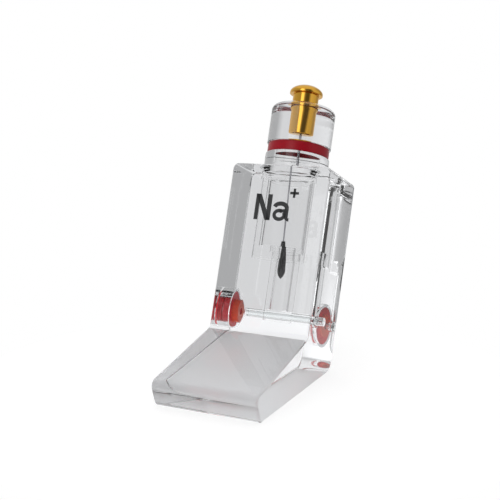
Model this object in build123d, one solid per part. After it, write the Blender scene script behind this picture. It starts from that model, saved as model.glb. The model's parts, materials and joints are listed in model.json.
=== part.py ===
from build123d import *

import os
from math import asin, cos, degrees, radians, sin, tan

# Sodium electrode: a clear acrylic upright on a sloping foot, with a capped neck and a gold contact pin.
# Lengths are in millimetres. The block frame has X across the width, Y from the front face to the rear
# and Z up the upright, with its origin on the front face where the upright meets the foot.

# Housing
WIDTH = 17.0
DEPTH = 12.0
UPRIGHT_HEIGHT = 27.0
HEEL_DROP = 4.2  # rear lower corner, below the junction of upright and foot
LEAN = 19.0  # the upright leans back by this angle when the foot lies flat
FOOT_LENGTH = 18.5
FOOT_SLOPE = 31.0  # foot's upper face, below the normal of the upright
TOE_SLOPE = 38.0  # toe face, from the upright's direction
TOP_RADIUS = 0.95
TOE_RADIUS = 1.2
HEEL_RADIUS = 2.5
JUNCTION_RADIUS = 1.2
SIDE_RADIUS = 0.35

# Electrolyte chamber, bored down from the top
CHAMBER_DIAMETER = 9.0
CHAMBER_FLOOR = 12.1  # height above the junction
MOUTH_DEPTH = 2.0
FIT = 0.03  # radial clearance of bonded and pressed pieces

# Sleeve and narrow tube inside the chamber
SLEEVE_WALL = 0.95
SLEEVE_FLOOR = 2.0
TUBE_BORE = 3.2
TUBE_WALL = 0.8
TUBE_RIM_WIDTH = 0.45
TUBE_RIM_HEIGHT = 0.8
SEAT_WALL = 0.19  # sleeve left beside the tube's rim, where the tube stands off centre
TUBE_TO_CAPILLARY = 0.15

# Sample channel, straight through the width
CHANNEL_HEIGHT = 3.2
CAPILLARY_DIAMETER = 1.3
CAPILLARY_WALL = 0.3
CAPILLARY_RECESS = 0.25
WELL_DEPTH = 0.35  # the tube's bore runs this far under the capillary

# Port with its rubber seal, on the left side
PORT_DIAMETER = 7.5
PORT_DEPTH = 2.3
PORT_POINT_ANGLE = 118.0
PORT_RING_WALL = 0.5
PORT_RING_RECESS = 0.2
SEAL_PROUD = 0.4
SEAL_GROOVE_WIDTH = 0.25
SEAL_GROOVE_DEPTH = 0.3
SEAL_NOSE_DIAMETER = 3.8
SEAL_HOLE_DIAMETER = 1.2
SEAL_EDGE = 0.25

# Neck, gasket and cap, turned about the upright's axis
NECK_DIAMETER = 10.6
NECK_HEIGHT = 2.7
THREAD_DIAMETER = 9.5
GASKET_DIAMETER = 10.2
GASKET_THICKNESS = 1.7
CAP_HEIGHT = 6.6
CAP_EDGE = 0.75
STEM_DIAMETER = 5.0
STEM_LENGTH = 3.2
WIRE_HOLE_DIAMETER = 1.2

# Contact pin
SHANK_DIAMETER = 2.65
SHANK_LENGTH = 4.3
PIN_NECK_DIAMETER = 4.3
PIN_NECK_HEIGHT = 2.3
HEAD_DIAMETER = 5.5
HEAD_LIP = 0.35
HEAD_DOME = 1.3

# Silver wire and its coated end
WIRE_DIAMETER = 0.3
WIRE_SEAT = 1.0  # length of wire soldered into the pin
WIRE_BEND = 2.6  # straight run below the pin before the wire leans
WIRE_TO_ELEMENT = 15.9
WIRE_BEND_RADIUS = 12.0
ELEMENT_LENGTH = 6.1
ELEMENT_DIAMETER = 1.45
ELEMENT_NECK_DIAMETER = 0.75
ELEMENT_WIDEST = 4.3  # from its top
ELEMENT_FLARE = 0.1
ELEMENT_ASIDE = 0.5  # its lower end, from the tube's axis

# Levels on the upright's axis, above the junction
AXIS_Y = DEPTH / 2
MOUTH_FLOOR = UPRIGHT_HEIGHT - MOUTH_DEPTH
GASKET_BOTTOM = UPRIGHT_HEIGHT + NECK_HEIGHT
CAP_BOTTOM = GASKET_BOTTOM + GASKET_THICKNESS
CAP_TOP = CAP_BOTTOM + CAP_HEIGHT
PIN_BOTTOM = CAP_TOP - SHANK_LENGTH
LEFT_FACE = -WIDTH / 2
RIGHT_FACE = WIDTH / 2

# The narrow tube stands off centre, away from the port, and the wire leans towards it
TUBE_DIAMETER = TUBE_BORE + 2 * TUBE_WALL
TUBE_RIM_DIAMETER = TUBE_DIAMETER + 2 * TUBE_RIM_WIDTH
SLEEVE_DIAMETER = CHAMBER_DIAMETER - 2 * FIT
TUBE_OFFSET = SLEEVE_DIAMETER / 2 - SEAT_WALL - TUBE_RIM_DIAMETER / 2 - FIT
WIRE_LEAN = degrees(asin((TUBE_OFFSET - ELEMENT_ASIDE) / (WIRE_TO_ELEMENT + ELEMENT_LENGTH)))

# Outline corners of the housing, seen from the side as (Y, Z)
toe_top = (-FOOT_LENGTH * cos(radians(FOOT_SLOPE)), -FOOT_LENGTH * sin(radians(FOOT_SLOPE)))
heel = (DEPTH, -HEEL_DROP)
toe_run = heel[1] - (heel[0] - toe_top[0]) * tan(radians(LEAN)) - toe_top[1]
toe_length = -toe_run / (cos(radians(TOE_SLOPE)) + sin(radians(TOE_SLOPE)) * tan(radians(LEAN)))
toe_bottom = (
    toe_top[0] + toe_length * sin(radians(TOE_SLOPE)),
    toe_top[1] - toe_length * cos(radians(TOE_SLOPE)),
)
base_middle = ((toe_bottom[0] + heel[0]) / 2, (toe_bottom[1] + heel[1]) / 2)

# The part stands on the foot's underside, with its origin at the middle of that face
stand_up = Rot(X=-LEAN) * Pos(0, -base_middle[0], -base_middle[1])


def upright_cylinder(diameter, bottom, top, x=0.0):
    """A cylinder on the upright's axis, or beside it by x, between two levels."""
    height = top - bottom
    return Pos(x, AXIS_Y, bottom + height / 2) * Cylinder(diameter / 2, height)


def channel_cylinder(diameter, start, end):
    """A cylinder on the sample channel's axis between two X positions."""
    length = end - start
    return Pos(start + length / 2, AXIS_Y, CHANNEL_HEIGHT) * Rot(Y=90) * Cylinder(diameter / 2, length)


def port_cone(diameter, start):
    """The cone that a drill leaves at the end of the port, its wide end at X = start."""
    height = diameter / 2 / tan(radians(PORT_POINT_ANGLE / 2))
    return Pos(start + height / 2, AXIS_Y, CHANNEL_HEIGHT) * Rot(Y=90) * Cone(diameter / 2, 0, height)


def round_corner(outline, corner, radius):
    """Rounds the corner of a flat outline that lies nearest to the given point."""
    vertex = outline.vertices().sort_by_distance((corner[0], corner[1], 0))[0]
    return fillet(vertex, radius)


def housing_block():
    corners = [(0, 0), (0, UPRIGHT_HEIGHT), (DEPTH, UPRIGHT_HEIGHT), heel, toe_bottom, toe_top]
    outline = make_face(Polyline(*corners, close=True))
    outline = round_corner(outline, (0, 0), JUNCTION_RADIUS)
    outline = round_corner(outline, heel, HEEL_RADIUS)
    outline = round_corner(outline, toe_bottom, TOE_RADIUS)
    outline = round_corner(outline, toe_top, TOE_RADIUS)
    block = extrude(Plane.YZ * outline, WIDTH / 2, both=True)
    top = block.faces().sort_by(Axis.Z)[-1]
    block = fillet(top.edges().filter_by(Axis.Y), TOP_RADIUS)
    sides = block.faces().filter_by(Axis.X)
    return fillet(sides.edges(), SIDE_RADIUS)


def housing():
    tube_bore = TUBE_DIAMETER + 2 * FIT
    capillary_bore = CAPILLARY_DIAMETER + 2 * FIT
    well_floor = CHANNEL_HEIGHT - CAPILLARY_DIAMETER / 2 - WELL_DEPTH
    body = housing_block()
    body -= upright_cylinder(CHAMBER_DIAMETER, CHAMBER_FLOOR, UPRIGHT_HEIGHT)
    body -= upright_cylinder(THREAD_DIAMETER + 2 * FIT, MOUTH_FLOOR, UPRIGHT_HEIGHT)
    body -= upright_cylinder(tube_bore, well_floor, CHAMBER_FLOOR, TUBE_OFFSET)
    body -= channel_cylinder(capillary_bore, LEFT_FACE, RIGHT_FACE)
    body -= channel_cylinder(PORT_DIAMETER, LEFT_FACE, LEFT_FACE + PORT_DEPTH)
    body -= port_cone(PORT_DIAMETER, LEFT_FACE + PORT_DEPTH)
    return body


def chamber_sleeve():
    inner = SLEEVE_DIAMETER - 2 * SLEEVE_WALL
    seat = TUBE_RIM_DIAMETER + 2 * FIT
    sleeve = upright_cylinder(SLEEVE_DIAMETER, CHAMBER_FLOOR, MOUTH_FLOOR)
    sleeve -= upright_cylinder(inner, CHAMBER_FLOOR + SLEEVE_FLOOR, MOUTH_FLOOR)
    sleeve -= upright_cylinder(TUBE_DIAMETER + 2 * FIT, CHAMBER_FLOOR, MOUTH_FLOOR, TUBE_OFFSET)
    rim_level = CHAMBER_FLOOR + SLEEVE_FLOOR - TUBE_RIM_HEIGHT
    return sleeve - upright_cylinder(seat, rim_level, MOUTH_FLOOR, TUBE_OFFSET)


def electrolyte_tube():
    bottom = CHANNEL_HEIGHT + CAPILLARY_DIAMETER / 2 + TUBE_TO_CAPILLARY
    top = CHAMBER_FLOOR + SLEEVE_FLOOR
    tube = upright_cylinder(TUBE_DIAMETER, bottom, top, TUBE_OFFSET)
    tube += upright_cylinder(TUBE_RIM_DIAMETER, top - TUBE_RIM_HEIGHT, top, TUBE_OFFSET)
    return tube - upright_cylinder(TUBE_BORE, bottom, top, TUBE_OFFSET)


def glass_capillary():
    cone_height = PORT_DIAMETER / 2 / tan(radians(PORT_POINT_ANGLE / 2))
    start = LEFT_FACE + PORT_DEPTH + cone_height
    end = RIGHT_FACE - CAPILLARY_RECESS
    tube = channel_cylinder(CAPILLARY_DIAMETER, start, end)
    return tube - channel_cylinder(CAPILLARY_DIAMETER - 2 * CAPILLARY_WALL, start, end)


def port_ring():
    outer = PORT_DIAMETER - 2 * FIT
    start = LEFT_FACE + PORT_RING_RECESS
    end = LEFT_FACE + PORT_DEPTH
    return channel_cylinder(outer, start, end) - channel_cylinder(outer - 2 * PORT_RING_WALL, start, end)


def port_seal():
    diameter = PORT_DIAMETER - 2 * PORT_RING_WALL - 4 * FIT
    start = LEFT_FACE - SEAL_PROUD
    end = LEFT_FACE + PORT_DEPTH
    nose_height = (PORT_DIAMETER - SEAL_NOSE_DIAMETER) / 2 / tan(radians(PORT_POINT_ANGLE / 2))
    body = channel_cylinder(diameter, start, end)
    body = fillet(body.edges().sort_by(Axis.X)[0], SEAL_EDGE)
    groove_middle = (start + end) / 2
    groove_start = groove_middle - SEAL_GROOVE_WIDTH / 2
    groove_end = groove_middle + SEAL_GROOVE_WIDTH / 2
    groove = channel_cylinder(diameter + 1, groove_start, groove_end)
    groove -= channel_cylinder(diameter - 2 * SEAL_GROOVE_DEPTH, groove_start, groove_end)
    body -= groove
    body += channel_cylinder(SEAL_NOSE_DIAMETER, end, end + nose_height)
    return body - channel_cylinder(SEAL_HOLE_DIAMETER, start, end + nose_height)


def neck_plug():
    neck = upright_cylinder(NECK_DIAMETER, UPRIGHT_HEIGHT, GASKET_BOTTOM)
    neck += upright_cylinder(THREAD_DIAMETER, MOUTH_FLOOR, UPRIGHT_HEIGHT)
    socket_floor = CAP_BOTTOM - STEM_LENGTH
    neck -= upright_cylinder(STEM_DIAMETER + 2 * FIT, socket_floor, GASKET_BOTTOM)
    return neck - upright_cylinder(WIRE_HOLE_DIAMETER, MOUTH_FLOOR, socket_floor)


def sealing_ring():
    ring = upright_cylinder(GASKET_DIAMETER, GASKET_BOTTOM, CAP_BOTTOM)
    return ring - upright_cylinder(STEM_DIAMETER + 2 * FIT, GASKET_BOTTOM, CAP_BOTTOM)


def cap():
    body = upright_cylinder(NECK_DIAMETER, CAP_BOTTOM, CAP_TOP)
    body = fillet(body.edges().sort_by(Axis.Z)[-1], CAP_EDGE)
    body += upright_cylinder(STEM_DIAMETER, CAP_BOTTOM - STEM_LENGTH, CAP_BOTTOM)
    body -= upright_cylinder(SHANK_DIAMETER + 2 * FIT, PIN_BOTTOM, CAP_TOP)
    return body - upright_cylinder(WIRE_HOLE_DIAMETER, CAP_BOTTOM - STEM_LENGTH, PIN_BOTTOM)


def contact_pin():
    head_bottom = CAP_TOP + PIN_NECK_HEIGHT
    lip_top = head_bottom + HEAD_LIP
    head_top = lip_top + HEAD_DOME
    seat_top = PIN_BOTTOM + WIRE_SEAT
    shank = SHANK_DIAMETER / 2
    neck = PIN_NECK_DIAMETER / 2
    head = HEAD_DIAMETER / 2
    seat = WIRE_DIAMETER / 2 + FIT
    dome = Bezier((head, lip_top), (head, lip_top + HEAD_DOME * 0.6), (head * 0.5, head_top), (0, head_top))
    lip = Polyline((head, lip_top), (head, head_bottom), (neck, head_bottom), (neck, CAP_TOP), (shank, CAP_TOP))
    tail = Polyline((shank, CAP_TOP), (shank, PIN_BOTTOM), (seat, PIN_BOTTOM), (seat, seat_top), (0, seat_top))
    outline = make_face(Curve() + [dome, lip, tail, Line((0, seat_top), (0, head_top))])
    return Pos(0, AXIS_Y, 0) * revolve(Plane.XZ * outline, Axis.Z)


def leaning_frame():
    """Frame at the wire's bend, its Z axis pointing back up the leaning run."""
    return Pos(0, AXIS_Y, PIN_BOTTOM - WIRE_BEND) * Rot(Y=-WIRE_LEAN)


def lead_wire():
    top = (0, AXIS_Y, PIN_BOTTOM + WIRE_SEAT - FIT)
    bend = (0, AXIS_Y, PIN_BOTTOM - WIRE_BEND)
    end = (leaning_frame() * Pos(0, 0, -WIRE_TO_ELEMENT)).position
    path = FilletPolyline(top, bend, end, radius=WIRE_BEND_RADIUS)
    section = Plane(origin=top, z_dir=(0, 0, -1)) * Circle(WIRE_DIAMETER / 2)
    return sweep(section, path)


def reference_element():
    """Silver wire end dipped in silver chloride: a slim drop that thickens downwards."""
    radius = ELEMENT_DIAMETER / 2
    neck = ELEMENT_NECK_DIAMETER / 2
    tip = ELEMENT_LENGTH - ELEMENT_WIDEST
    side = Spline((neck, 0), (radius, -ELEMENT_WIDEST), tangents=[(ELEMENT_FLARE, -1), (0, -1)])
    end = ThreePointArc((0, -ELEMENT_LENGTH), (radius * 0.75, -ELEMENT_WIDEST - tip * 0.66), (radius, -ELEMENT_WIDEST))
    axis_line = Polyline((0, -ELEMENT_LENGTH), (0, 0), (neck, 0))
    drop = revolve(Plane.XZ * make_face(Curve() + [side, end, axis_line]), Axis.Z)
    return leaning_frame() * Pos(0, 0, -WIRE_TO_ELEMENT) * drop


pieces = {
    "housing": housing(),
    "chamber_sleeve": chamber_sleeve(),
    "electrolyte_tube": electrolyte_tube(),
    "glass_capillary": glass_capillary(),
    "port_ring": port_ring(),
    "port_seal": port_seal(),
    "neck_plug": neck_plug(),
    "sealing_ring": sealing_ring(),
    "cap": cap(),
    "contact_pin": contact_pin(),
    "lead_wire": lead_wire(),
    "reference_element": reference_element(),
}

os.makedirs("parts", exist_ok=True)
for name, solid in pieces.items():
    export_step(stand_up * solid, f"parts/{name}.step")
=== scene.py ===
import json
from math import asin, cos, pi, radians, sin, tau

import bmesh
import bpy
from mathutils import Matrix, Vector


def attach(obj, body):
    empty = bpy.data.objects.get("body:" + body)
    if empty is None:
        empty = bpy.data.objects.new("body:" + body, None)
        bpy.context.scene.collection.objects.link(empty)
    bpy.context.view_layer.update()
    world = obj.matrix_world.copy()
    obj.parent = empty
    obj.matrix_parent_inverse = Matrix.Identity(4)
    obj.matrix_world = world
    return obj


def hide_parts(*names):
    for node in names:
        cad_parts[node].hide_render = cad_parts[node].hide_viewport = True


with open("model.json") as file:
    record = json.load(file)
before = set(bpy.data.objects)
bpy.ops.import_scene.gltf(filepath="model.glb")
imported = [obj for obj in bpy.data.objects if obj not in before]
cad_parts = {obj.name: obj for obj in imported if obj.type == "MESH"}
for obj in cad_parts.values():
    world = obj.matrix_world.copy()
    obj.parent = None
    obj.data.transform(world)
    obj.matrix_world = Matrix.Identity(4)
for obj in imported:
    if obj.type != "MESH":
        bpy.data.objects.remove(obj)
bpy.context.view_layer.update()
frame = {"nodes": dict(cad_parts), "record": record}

# Camera
# It stands in front and to the right, a little above the block, where the photograph was taken from.
MM = 0.001
CAMERA_PLACE = Vector((60.37, -122.48, 47.02)) * MM
CAMERA_TARGET = Vector((-1.87, 4.66, 20.62)) * MM
CAMERA_LENS = 66.65

camera_data = bpy.data.cameras.new("camera")
camera_data.lens = CAMERA_LENS
camera_data.sensor_width = 36
camera_data.clip_start = 0.005
camera = bpy.data.objects.new("camera", camera_data)
camera.location = CAMERA_PLACE
camera.rotation_euler = (CAMERA_TARGET - CAMERA_PLACE).to_track_quat("-Z", "Y").to_euler()
bpy.context.scene.collection.objects.link(camera)
bpy.context.scene.camera = camera

# The block's own frame
# X runs across the width, Y from the front face to the rear, Z up the leaning upright. Its origin lies on
# the upright's axis at the level where upright and foot meet, found from two of the part's mounts.
CHANNEL_HEIGHT = 3.2 * MM
HALF_DEPTH = 6.0 * MM
mounts = {mount["name"]: mount for mount in frame["record"]["mounts"]}
contact = Vector(mounts["contact"]["pos_m"])
inlet = Vector(mounts["sample_inlet"]["pos_m"])
up = Vector(mounts["contact"]["axis"]).normalized()
back = up.cross(Vector((1, 0, 0)))
pin_level = (contact - inlet).dot(up) + CHANNEL_HEIGHT
origin = contact - up * pin_level
block_frame = Matrix.Translation(origin) @ Matrix((Vector((1, 0, 0)), back, up)).transposed().to_4x4()
to_block = block_frame.inverted()


# Materials
# Every one is procedural. Colours are written as sRGB hex, and shaders take them as linear values.
def linear(hex_colour):
    channels = [int(hex_colour[i : i + 2], 16) / 255 for i in (0, 2, 4)]
    return [c / 12.92 if c <= 0.04045 else ((c + 0.055) / 1.055) ** 2.4 for c in channels] + [1.0]


def add_node(tree, kind, inputs=None, **settings):
    node = tree.nodes.new(kind)
    for name, value in settings.items():
        setattr(node, name, value)
    for name, value in (inputs or {}).items():
        if isinstance(value, bpy.types.NodeSocket):
            tree.links.new(value, node.inputs[name])
        else:
            node.inputs[name].default_value = value
    return node


def mixed(tree, factor, first, second):
    """A mix of two colours by a factor."""
    mix = add_node(tree, "ShaderNodeMix", {"Factor": factor, 6: first, 7: second}, data_type="RGBA")
    return mix.outputs[2]


def maths(tree, operation, *values):
    """One step of arithmetic on shader values."""
    step = add_node(tree, "ShaderNodeMath", dict(enumerate(values)), operation=operation)
    return step.outputs["Value"]


def relief(tree, height, strength, depth):
    """A surface roughened by a pattern, down to a depth in metres."""
    bump = add_node(tree, "ShaderNodeBump", {"Height": height, "Strength": strength, "Distance": depth})
    return bump.outputs["Normal"]


def new_material(name):
    material = bpy.data.materials.new(name)
    material.use_nodes = True
    tree = material.node_tree
    shader = tree.nodes["Principled BSDF"]
    place = add_node(tree, "ShaderNodeTexCoord").outputs["Object"]
    return material, tree, shader, place


def bare_material(name):
    material = bpy.data.materials.new(name)
    material.use_nodes = True
    tree = material.node_tree
    tree.nodes.clear()
    return material, tree


# How much duller a wipe mark is than the polish round it
WIPE_HAZE = 0.02


def clear_plastic(name, colour, ior, roughness=0.0):
    """Polished acrylic, with hairline wipe marks that show only in its gloss."""
    material, tree, shader, place = new_material(name)
    shader.inputs["Base Color"].default_value = linear(colour)
    shader.inputs["Transmission Weight"].default_value = 1.0
    shader.inputs["IOR"].default_value = ior
    marks = add_node(tree, "ShaderNodeTexNoise", {"Vector": place, "Scale": 900.0, "Detail": 3.0})
    haze = add_node(tree, "ShaderNodeMapRange", {"Value": marks.outputs["Fac"]})
    haze.inputs["From Min"].default_value = 0.45
    haze.inputs["From Max"].default_value = 0.8
    haze.inputs["To Min"].default_value = roughness
    haze.inputs["To Max"].default_value = roughness + WIPE_HAZE
    tree.links.new(haze.outputs["Result"], shader.inputs["Roughness"])
    return material


# Acrylic against air, the same where the filling solution wets it, where clear cement bonds it to the next
# piece and only a faint line shows, and where it is ground satin, with a faint painted glow in place of
# light from the table
ACRYLIC_IOR = 1.49
SOLUTION_IOR = 1.34
CEMENT_IOR = 1.45
GLASS_IOR = 1.52
SATIN_ROUGHNESS = 0.35
SATIN_CLEARNESS = 0.35
SATIN_PAINTED_GLOW = 0.16
acrylic = clear_plastic("clear_acrylic", "F6F7F9", ACRYLIC_IOR)
wet_acrylic = clear_plastic("wet_acrylic", "FDFDFD", ACRYLIC_IOR / SOLUTION_IOR)
bonded_acrylic = clear_plastic("bonded_acrylic", "FDFDFD", ACRYLIC_IOR / CEMENT_IOR)
satin_painted_glow_acrylic = clear_plastic("satin_painted_glow_acrylic", "F2F3F5", ACRYLIC_IOR, SATIN_ROUGHNESS)
satin_painted_glow_shader = satin_painted_glow_acrylic.node_tree.nodes["Principled BSDF"]
satin_painted_glow_shader.inputs["Transmission Weight"].default_value = SATIN_CLEARNESS
# Painted glow: a faint white emission stands in for light that the table sends up through the satin face
satin_painted_glow_shader.inputs["Emission Color"].default_value = linear("FFFFFF")
satin_painted_glow_shader.inputs["Emission Strength"].default_value = SATIN_PAINTED_GLOW
wet_glass = clear_plastic("wet_glass", "FAFCFC", GLASS_IOR / SOLUTION_IOR)


def rubber(name, dark, light, gloss):
    """Moulded rubber: a fine even grain, a trace of colour change and a satin gloss."""
    material, tree, shader, place = new_material(name)
    cloud = add_node(tree, "ShaderNodeTexNoise", {"Vector": place, "Scale": 700.0, "Detail": 4.0})
    tone = mixed(tree, cloud.outputs["Fac"], linear(dark), linear(light))
    grain = add_node(tree, "ShaderNodeTexNoise", {"Vector": place, "Scale": 9000.0, "Detail": 2.0})
    bump = relief(tree, grain.outputs["Fac"], 0.15, 0.01 * MM)
    tree.links.new(tone, shader.inputs["Base Color"])
    tree.links.new(bump, shader.inputs["Normal"])
    shader.inputs["Roughness"].default_value = gloss
    shader.inputs["Specular IOR Level"].default_value = 0.2
    return material


crimson_rubber = rubber("crimson_rubber", "970C1C", "A51224", 0.3)
red_rubber = rubber("red_rubber", "E2182C", "F02A34", 0.35)
nose_rubber = rubber("nose_rubber", "F0502E", "FA6238", 0.35)


# A wave texture turns through this many radians in one unit of its scale
WAVE_RADIANS = 20


def turned_metal(name, colour, roughness, ring_pitch):
    """Turned and plated metal: rings left by the tool round the axis, and slight changes of gloss."""
    material, tree, shader, place = new_material(name)
    shader.inputs["Base Color"].default_value = linear(colour)
    shader.inputs["Metallic"].default_value = 1.0
    along = add_node(tree, "ShaderNodeMapping", {"Vector": place, "Rotation": (asin(up.y), 0.0, 0.0)})
    scale = tau / ring_pitch / WAVE_RADIANS
    rings = add_node(tree, "ShaderNodeTexWave", {"Vector": along.outputs["Vector"], "Scale": scale})
    rings.bands_direction = "Z"
    cloud = add_node(tree, "ShaderNodeTexNoise", {"Vector": place, "Scale": 1200.0, "Detail": 4.0})
    gloss = add_node(tree, "ShaderNodeMapRange", {"Value": cloud.outputs["Fac"], "To Min": roughness * 0.7})
    gloss.inputs["To Max"].default_value = roughness * 1.3
    bump = relief(tree, rings.outputs["Fac"], 0.04, 0.003 * MM)
    tree.links.new(gloss.outputs["Result"], shader.inputs["Roughness"])
    tree.links.new(bump, shader.inputs["Normal"])
    return material


gold_plate = turned_metal("gold_plate", "E2AC44", 0.07, 0.377 * MM)
silver_wire = turned_metal("silver_wire", "D2D2D6", 0.5, 0.3142 * MM)


def silver_chloride_coat():
    """Dark, slightly mottled coat on the dipped wire end."""
    material, tree, shader, place = new_material("silver_chloride")
    cloud = add_node(tree, "ShaderNodeTexNoise", {"Vector": place, "Scale": 2500.0, "Detail": 5.0})
    tone = mixed(tree, cloud.outputs["Fac"], linear("1C1C1F"), linear("343437"))
    bump = relief(tree, cloud.outputs["Fac"], 0.4, 0.03 * MM)
    tree.links.new(tone, shader.inputs["Base Color"])
    tree.links.new(bump, shader.inputs["Normal"])
    shader.inputs["Roughness"].default_value = 0.3
    return material


chloride_coat = silver_chloride_coat()


def printing_ink():
    """Screen-printed black, with the faint mesh of the screen."""
    material, tree, shader, place = new_material("printing_ink")
    screen = add_node(tree, "ShaderNodeTexNoise", {"Vector": place, "Scale": 6000.0, "Detail": 2.0})
    tone = mixed(tree, screen.outputs["Fac"], linear("1B1C1E"), linear("292B2D"))
    tree.links.new(tone, shader.inputs["Base Color"])
    shader.inputs["Roughness"].default_value = 0.5
    return material


ink = printing_ink()


# Making pieces
# A clear piece starts as a copy of its CAD mesh with the corners joined, so that flat faces stay flat and
# fillets and bores shade smoothly. A turned piece is a profile spun round the upright's axis.
SHARP = radians(40)


def link_piece(name, mesh, materials):
    piece = bpy.data.objects.new(name, mesh)
    for material in materials:
        mesh.materials.append(material)
    bpy.context.scene.collection.objects.link(piece)
    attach(piece, "root")
    return piece


def smooth_shading(bm):
    """Smooth faces, with hard edges only where two of them meet at a sharp angle."""
    for face in bm.faces:
        face.smooth = True
    for edge in bm.edges:
        edge.smooth = edge.calc_face_angle(pi) < SHARP


def keep_flats_flat(piece):
    weighting = piece.modifiers.new("flat faces", "WEIGHTED_NORMAL")
    weighting.weight = 100
    weighting.keep_sharp = True


def clear_copy(node, materials, material_at=None):
    mesh = frame["nodes"][node].data.copy()
    mesh.materials.clear()
    bm = bmesh.new()
    bm.from_mesh(mesh)
    bmesh.ops.remove_doubles(bm, verts=bm.verts, dist=1e-6)
    smooth_shading(bm)
    for face in bm.faces:
        face.material_index = material_at(to_block @ face.calc_center_median()) if material_at else 0
    bm.to_mesh(mesh)
    bm.free()
    piece = link_piece(f"{node}_piece", mesh, materials)
    keep_flats_flat(piece)
    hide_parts(node)
    return piece


def turned_piece(node, outline, materials, material_at=None, steps=128):
    """Spins (radius, level) points in millimetres round the upright's axis."""
    bm = bmesh.new()
    verts = [bm.verts.new(Vector((radius, 0, level)) * MM) for radius, level in outline]
    edges = [bm.edges.new(pair) for pair in zip(verts, verts[1:] + verts[:1])]
    bmesh.ops.spin(bm, geom=verts + edges, axis=(0, 0, 1), cent=(0, 0, 0), angle=tau, steps=steps)
    bmesh.ops.remove_doubles(bm, verts=bm.verts, dist=1e-7)
    bmesh.ops.dissolve_degenerate(bm, edges=bm.edges, dist=1e-8)
    bmesh.ops.recalc_face_normals(bm, faces=bm.faces)
    smooth_shading(bm)
    for face in bm.faces:
        face.material_index = material_at(face.calc_center_median() / MM) if material_at else 0
    mesh = bpy.data.meshes.new(f"{node}_mesh")
    bm.to_mesh(mesh)
    bm.free()
    mesh.transform(block_frame)
    piece = link_piece(f"{node}_piece", mesh, materials)
    keep_flats_flat(piece)
    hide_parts(node)
    return piece


def arc(centre, radius, start, end, count=8):
    """Points on an arc of the outline, angles in degrees from the outward radius towards the top."""
    turns = [radians(start + (end - start) * i / count) for i in range(count + 1)]
    return [(centre[0] + radius * cos(turn), centre[1] + radius * sin(turn)) for turn in turns]


# Housing
# One block of clear acrylic. It is dry outside, the sample and the filling solution wet the walls of the
# channel, clear cement holds the pieces in its bores and its port, and the underside is ground satin with a
# painted glow.
MOUTH_RADIUS = 4.9 * MM
MOUTH_TOP = 26.98 * MM
CHAMBER_FLOOR = 12.1 * MM
NARROW_BORE_X = 1.4 * MM
NARROW_BORE_RADIUS = 2.5 * MM
CHANNEL_RADIUS = 0.9 * MM
PORT_RADIUS = 3.78 * MM
CONE_END = -4.0 * MM
PORT_MOUTH = -8.4 * MM
BORE_END = 1.5 * MM
SATIN_TOP = 0.05 * MM
EDGE_SLACK = 0.1 * MM

# What the block's faces touch, in the order of its materials
DRY, WET, BONDED, SATIN = range(4)


def housing_material(point):
    """Which material the housing shows at a point, given in the block's own frame."""
    from_axis = Vector((point.x, point.y)).length
    from_bore = Vector((point.x - NARROW_BORE_X, point.y)).length
    from_channel = Vector((point.y, point.z - CHANNEL_HEIGHT)).length
    above_floor = (block_frame @ point).z
    if from_channel < CHANNEL_RADIUS and point.x > CONE_END:
        return WET
    in_port = from_channel < PORT_RADIUS and PORT_MOUTH < point.x < CONE_END
    in_mouth = from_axis < MOUTH_RADIUS and CHAMBER_FLOOR - EDGE_SLACK < point.z < MOUTH_TOP
    in_bore = from_bore < NARROW_BORE_RADIUS and BORE_END < point.z < CHAMBER_FLOOR
    if in_port or in_mouth or in_bore:
        return BONDED
    return SATIN if above_floor < SATIN_TOP else DRY


housing = clear_copy("housing", [acrylic, wet_acrylic, bonded_acrylic, satin_painted_glow_acrylic], housing_material)

# Chamber sleeve, narrow tube and glass capillary
# Cement holds the sleeve and the tube, and the filling solution stands in them and round the capillary.
SLEEVE_OUTSIDE = 4.3 * MM
SLEEVE_TOP = 24.95 * MM
SLEEVE_BOTTOM = 12.15 * MM
TUBE_OUTSIDE = 2.2 * MM


def sleeve_material(point):
    """Wet inside, cemented on its outside and at both ends."""
    from_axis = Vector((point.x, point.y)).length
    is_cemented = from_axis > SLEEVE_OUTSIDE or point.z > SLEEVE_TOP or point.z < SLEEVE_BOTTOM
    return 1 if is_cemented else 0


def tube_material(point):
    """Wet inside and cemented outside."""
    return 1 if Vector((point.x - NARROW_BORE_X, point.y)).length > TUBE_OUTSIDE else 0


sleeve = clear_copy("chamber_sleeve", [wet_acrylic, bonded_acrylic], sleeve_material)
tube = clear_copy("electrolyte_tube", [wet_acrylic, bonded_acrylic], tube_material)
capillary = clear_copy("glass_capillary", [wet_glass])

# Port
# A clear ring, cemented into the block's left side, holds the red seal, which stands out of it.
RING_RIM = -8.25 * MM
RING_OUTSIDE = 3.6 * MM
NOSE_START = -6.15 * MM


def ring_material(point):
    """Cemented into the port, dry where it stands out and round the seal."""
    from_channel = Vector((point.y, point.z - CHANNEL_HEIGHT)).length
    return 1 if from_channel > RING_OUTSIDE and point.x > RING_RIM else 0


port_ring = clear_copy("port_ring", [acrylic, bonded_acrylic], ring_material)


def seal_material(point):
    """The nose, in the port's cone, is of a lighter orange red."""
    return 1 if point.x > NOSE_START else 0


port_seal = clear_copy("port_seal", [red_rubber, nose_rubber], seal_material)

# Neck plug
# The visible neck, and below it the threaded part in the block's mouth, its crests drawn as fine rings.
NECK_RADIUS = 5.3
BLOCK_TOP = 27.0
MOUTH_FLOOR = 25.0
GASKET_BOTTOM = 29.7
CAP_BOTTOM = 31.4
CAP_TOP = 38.0
THREAD_RADIUS = 4.75
THREAD_DEPTH = 0.28
THREAD_PITCH = 0.5
THREAD_TOP = 26.9
CEMENT_TOP = 26.95
SOCKET_RADIUS = 2.53
SOCKET_FLOOR = 28.2
WIRE_HOLE_RADIUS = 0.6
EDGE = 0.12
SEAM = 0.02

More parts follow.
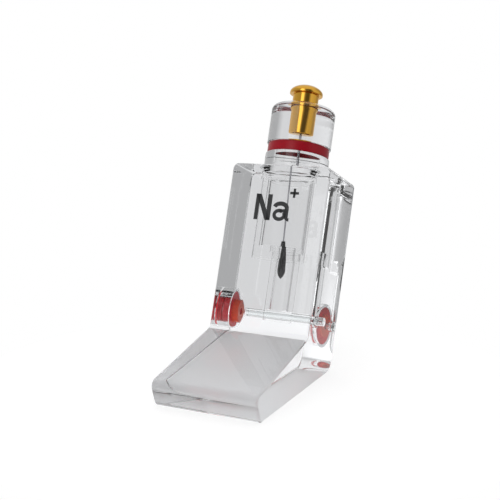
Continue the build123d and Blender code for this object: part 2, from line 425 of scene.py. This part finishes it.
thread_outline = []
level = THREAD_TOP
while level - THREAD_PITCH > MOUTH_FLOOR:
    thread_outline.append((THREAD_RADIUS, level))
    thread_outline.append((THREAD_RADIUS - THREAD_DEPTH, level - THREAD_PITCH / 2))
    level -= THREAD_PITCH
plug_outline = [
    (SOCKET_RADIUS, SOCKET_FLOOR),
    (SOCKET_RADIUS, GASKET_BOTTOM),
    *arc((NECK_RADIUS - EDGE, GASKET_BOTTOM - EDGE), EDGE, 90, 0, 4),
    *arc((NECK_RADIUS - EDGE, BLOCK_TOP + EDGE), EDGE, 0, -90, 4),
    *thread_outline,
    (THREAD_RADIUS - THREAD_DEPTH, MOUTH_FLOOR),
    (WIRE_HOLE_RADIUS, MOUTH_FLOOR),
    (WIRE_HOLE_RADIUS, SOCKET_FLOOR),
]


def plug_material(point):
    """Cemented round the cap's stem, round the wire and in the block's mouth, dry outside."""
    from_axis = Vector((point.x, point.y)).length
    in_socket = from_axis < SOCKET_RADIUS + SEAM and point.z < GASKET_BOTTOM - SEAM
    return 1 if in_socket or point.z < CEMENT_TOP else 0


neck_plug = turned_piece("neck_plug", plug_outline, [acrylic, bonded_acrylic], plug_material)

# Gasket
# Crimson rubber, squeezed a little between neck and cap, so that its side bulges.
GASKET_RADIUS = 5.1
GASKET_BULGE = 0.06
GASKET_GAP = 0.015
GASKET_STEPS = 8
gasket_height = CAP_BOTTOM - GASKET_BOTTOM - 2 * GASKET_GAP
gasket_outline = [(SOCKET_RADIUS, GASKET_BOTTOM + GASKET_GAP)]
for i in range(GASKET_STEPS + 1):
    share = i / GASKET_STEPS
    hollow = GASKET_BULGE * (2 * share - 1) ** 4
    gasket_outline.append((GASKET_RADIUS - hollow, GASKET_BOTTOM + GASKET_GAP + gasket_height * share))
gasket_outline.append((SOCKET_RADIUS, CAP_BOTTOM - GASKET_GAP))
sealing_ring = turned_piece("sealing_ring", gasket_outline, [crimson_rubber])

# Cap
# Its hole is drawn inside the pin's skin, because the pin is cemented in and no air shows between them.
CAP_EDGE = 0.9
STEM_RADIUS = 2.5
STEM_BOTTOM = 28.22
PIN_BOTTOM = 33.1
PIN_HOLE_RADIUS = 1.2
PIN_HOLE_BOTTOM = 33.2
cap_outline = [
    (PIN_HOLE_RADIUS, CAP_TOP),
    *arc((NECK_RADIUS - CAP_EDGE, CAP_TOP - CAP_EDGE), CAP_EDGE, 90, 0, 12),
    *arc((NECK_RADIUS - EDGE, CAP_BOTTOM + EDGE), EDGE, 0, -90, 4),
    (STEM_RADIUS, CAP_BOTTOM),
    (STEM_RADIUS, STEM_BOTTOM),
    (WIRE_HOLE_RADIUS, STEM_BOTTOM),
    (WIRE_HOLE_RADIUS, PIN_HOLE_BOTTOM),
    (PIN_HOLE_RADIUS, PIN_HOLE_BOTTOM),
]


def cap_material(point):
    """Cemented round the stem and the wire's hole, dry outside."""
    from_axis = Vector((point.x, point.y)).length
    return 1 if from_axis < STEM_RADIUS + SEAM and point.z < PIN_HOLE_BOTTOM - SEAM else 0


cap = turned_piece("cap", cap_outline, [acrylic, bonded_acrylic], cap_material)

# Contact pin
# Turned and gold plated: a domed head with a thin lip, a neck, and a shank with a small collar and a
# rounded end inside the cap.
SHANK_RADIUS = 1.38
PIN_NECK_RADIUS = 2.15
HEAD_RADIUS = 2.75
HEAD_BOTTOM = 40.3
LIP_TOP = 40.65
HEAD_TOP = 41.95
COLLAR_LEVEL = 37.3
COLLAR_STEP = 0.12
COLLAR_SLOPE = 0.15
NECK_FLARE = 0.08
LIP_ROUND = 0.1
DOME_FULLNESS = 1.15
TAIL_ROUND = 0.3


def dome_points(count=14):
    points = []
    for i in range(count + 1):
        turn = pi / 2 * i / count
        points.append((HEAD_RADIUS * cos(turn), LIP_TOP + (HEAD_TOP - LIP_TOP) * sin(turn) ** DOME_FULLNESS))
    return points


pin_outline = [
    (0.0, PIN_BOTTOM),
    *arc((SHANK_RADIUS - TAIL_ROUND, PIN_BOTTOM + TAIL_ROUND), TAIL_ROUND, -90, 0, 6),
    (SHANK_RADIUS, COLLAR_LEVEL - COLLAR_SLOPE),
    (SHANK_RADIUS + COLLAR_STEP, COLLAR_LEVEL),
    (SHANK_RADIUS + COLLAR_STEP, CAP_TOP - SEAM),
    (PIN_NECK_RADIUS, CAP_TOP + SEAM),
    (PIN_NECK_RADIUS, HEAD_BOTTOM - NECK_FLARE),
    (PIN_NECK_RADIUS + NECK_FLARE, HEAD_BOTTOM),
    *arc((HEAD_RADIUS - LIP_ROUND, HEAD_BOTTOM + LIP_ROUND), LIP_ROUND, -90, 0, 4),
    *dome_points(),
]
contact_pin = turned_piece("contact_pin", pin_outline, [gold_plate])

# Wire and its coated end
# The bare silver wire hangs from the pin down the narrow tube, and a dark coat of silver chloride covers
# its lower end.
wire = clear_copy("lead_wire", [silver_wire])
element = clear_copy("reference_element", [chloride_coat])

# Lettering
# The symbol of the sodium ion, printed in black on the front face. Each stroke is a flat band along a line.
INK_LIFT = 0.01
STROKE = 0.7
N_LEFT = -3.5
N_RIGHT = -0.65
N_BOTTOM = 17.85
N_TOP = 22.05
A_LEFT = -0.3
A_RIGHT = 2.6
A_TOP = 21.0
PLUS_CENTRE = (3.0, 22.44)
PLUS_SIZE = 1.5
PLUS_STROKE = 0.42
DIAGONAL_END = 1.25 * STROKE
ARCH_DROP = 1.1
ARCH_SHIFT = 0.1
TAIL_REACH = 0.2
TAIL_LENGTH = 0.55
TAIL_DROP = 0.34
TAIL_LEVEL = 0.6
STEM_LEVEL = 0.5
BOWL_LEVEL = 0.98
BOWL_HALF_HEIGHT = 0.7
BAR_DROPS = (1.62, 1.38)


def band(bm, line, width):
    """Adds a flat band of the given width along (across, level) points, in millimetres."""
    rails = []
    for i, point in enumerate(line):
        before = Vector(line[max(i - 1, 0)])
        after = Vector(line[min(i + 1, len(line) - 1)])
        side = (after - before).normalized().orthogonal() * width / 2
        rails.append([bm.verts.new((Vector(point) + side * s).to_3d()) for s in (1, -1)])
    for (a, b), (c, d) in zip(rails, rails[1:]):
        bm.faces.new((a, b, d, c))


def oval(centre, half_width, half_height, start, end, count=24):
    turns = [radians(start + (end - start) * i / count) for i in range(count + 1)]
    return [(centre[0] + half_width * cos(turn), centre[1] + half_height * sin(turn)) for turn in turns]


def lettering():
    bm = bmesh.new()
    half = STROKE / 2
    band(bm, [(N_LEFT + half, N_BOTTOM), (N_LEFT + half, N_TOP)], STROKE)
    band(bm, [(N_RIGHT - half, N_BOTTOM), (N_RIGHT - half, N_TOP)], STROKE)
    corners = [
        (N_LEFT, N_TOP),
        (N_LEFT + DIAGONAL_END, N_TOP),
        (N_RIGHT, N_BOTTOM),
        (N_RIGHT - DIAGONAL_END, N_BOTTOM),
    ]
    bm.faces.new([bm.verts.new((*corner, 0)) for corner in corners])
    stem = A_RIGHT - TAIL_REACH - half
    middle = (A_LEFT + stem) / 2
    band(bm, [(stem, N_BOTTOM + STEM_LEVEL), (stem, A_TOP - ARCH_DROP)], STROKE)
    tail = oval((stem + TAIL_LENGTH, N_BOTTOM + TAIL_LEVEL), TAIL_LENGTH, TAIL_DROP, 180, 270, 8)
    band(bm, tail, STROKE * 0.75)
    arch_width = stem - middle - ARCH_SHIFT
    arch = oval((middle + ARCH_SHIFT, A_TOP - ARCH_DROP), arch_width, ARCH_DROP - half, 0, 165)
    band(bm, arch, STROKE)
    bowl_width = middle - A_LEFT - half * 0.9
    bowl = oval((middle, N_BOTTOM + BOWL_LEVEL), bowl_width, BOWL_HALF_HEIGHT, 60, 395)
    band(bm, bowl, STROKE * 0.85)
    band(bm, [(middle, A_TOP - BAR_DROPS[0]), (stem, A_TOP - BAR_DROPS[1])], STROKE * 0.8)
    reach = PLUS_SIZE / 2
    x, z = PLUS_CENTRE
    band(bm, [(x - reach, z), (x + reach, z)], PLUS_STROKE)
    band(bm, [(x, z - reach), (x, z + reach)], PLUS_STROKE)
    flat = Matrix(((1, 0, 0, 0), (0, 0, 1, -HALF_DEPTH / MM - INK_LIFT), (0, 1, 0, 0), (0, 0, 0, 1)))
    mesh = bpy.data.meshes.new("lettering_mesh")
    bm.to_mesh(mesh)
    bm.free()
    mesh.transform(block_frame @ Matrix.Scale(MM, 4) @ flat)
    link_piece("lettering", mesh, [ink])


lettering()

# Floor
# A small pale disc that keeps the part's soft shadow. It glows a little, so that it meets the white
# surroundings without an edge.
FLOOR_RADIUS = 45 * MM
FLOOR_GLOW = 0.7
FLOOR_DROP = 0.02 * MM


def floor_disc():
    bm = bmesh.new()
    bmesh.ops.create_circle(bm, cap_ends=True, radius=FLOOR_RADIUS, segments=128)
    mesh = bpy.data.meshes.new("floor_mesh")
    bm.to_mesh(mesh)
    bm.free()
    material, tree = bare_material("studio_floor")
    matt = add_node(tree, "ShaderNodeBsdfDiffuse", {"Color": linear("B4B4B4")})
    glow = add_node(tree, "ShaderNodeEmission", {"Strength": FLOOR_GLOW})
    both = add_node(tree, "ShaderNodeAddShader")
    tree.links.new(matt.outputs["BSDF"], both.inputs[0])
    tree.links.new(glow.outputs["Emission"], both.inputs[1])
    result = add_node(tree, "ShaderNodeOutputMaterial")
    tree.links.new(both.outputs["Shader"], result.inputs["Surface"])
    floor = bpy.data.objects.new("floor", mesh)
    floor.location.z = -FLOOR_DROP
    mesh.materials.append(material)
    bpy.context.scene.collection.objects.link(floor)


floor_disc()

# Light tent
# A round tent of glowing cloth stands about the part and gives clear acrylic and gold something to show:
# pale grey behind, darker greys at the sides, a softbox to the left of the camera and a dark gap where
# the camera looks in. The camera itself doesn't see it, and beyond it all is white.
TENT_RADIUS = 0.6
TOP_BEGINS = 0.36
TOP_FULL = 0.51

# The angle in degrees, counted from the front round by the right side, and the cloth's brightness there
TENT_STOPS = [
    (0, 2.2),
    (12, 0.5),
    (24, 0.11),
    (58, 0.11),
    (80, 0.8),
    (120, 0.66),
    (142, 0.44),
    (166, 0.44),
    (178, 0.74),
    (244, 0.74),
    (262, 0.6),
    (320, 0.48),
    (334, 0.48),
    (340, 2.0),
    (360, 2.0),
]
TENT_TOP = 0.85


def light_tent():
    bm = bmesh.new()
    bmesh.ops.create_uvsphere(bm, u_segments=64, v_segments=32, radius=TENT_RADIUS)
    mesh = bpy.data.meshes.new("tent_mesh")
    bm.to_mesh(mesh)
    bm.free()
    material, tree = bare_material("tent_cloth")
    place = add_node(tree, "ShaderNodeTexCoord").outputs["Object"]
    parts = add_node(tree, "ShaderNodeSeparateXYZ", {"Vector": place})
    front = maths(tree, "MULTIPLY", parts.outputs["Y"], -1.0)
    turn = maths(tree, "ARCTAN2", parts.outputs["X"], front)
    share = maths(tree, "DIVIDE", turn, tau)
    wrapped = maths(tree, "WRAP", share, 1.0, 0.0)
    ramp = add_node(tree, "ShaderNodeValToRGB", {"Fac": wrapped})
    for i, (angle, strength) in enumerate(TENT_STOPS):
        if i < 2:
            stop = ramp.color_ramp.elements[i]
            stop.position = angle / 360
        else:
            stop = ramp.color_ramp.elements.new(angle / 360)
        stop.color = (strength, strength, strength, 1)
    height = add_node(tree, "ShaderNodeMapRange", {"Value": parts.outputs["Z"]})
    height.inputs["From Min"].default_value = TOP_BEGINS
    height.inputs["From Max"].default_value = TOP_FULL
    top = (TENT_TOP, TENT_TOP, TENT_TOP, 1)
    light = mixed(tree, height.outputs["Result"], ramp.outputs["Color"], top)
    glow = add_node(tree, "ShaderNodeEmission", {"Color": light, "Strength": 1.0})
    result = add_node(tree, "ShaderNodeOutputMaterial")
    tree.links.new(glow.outputs["Emission"], result.inputs["Surface"])
    tent = bpy.data.objects.new("light_tent", mesh)
    mesh.materials.append(material)
    bpy.context.scene.collection.objects.link(tent)
    tent.visible_camera = False


light_tent()

# White surroundings
# Plain white on every side, shown without tone mapping, so that the background stays white.
world = bpy.data.worlds.new("white")
world.use_nodes = True
world.node_tree.nodes["Background"].inputs["Color"].default_value = (1, 1, 1, 1)
world.node_tree.nodes["Background"].inputs["Strength"].default_value = 1.0
bpy.context.scene.world = world
bpy.context.scene.view_settings.view_transform = "Standard"
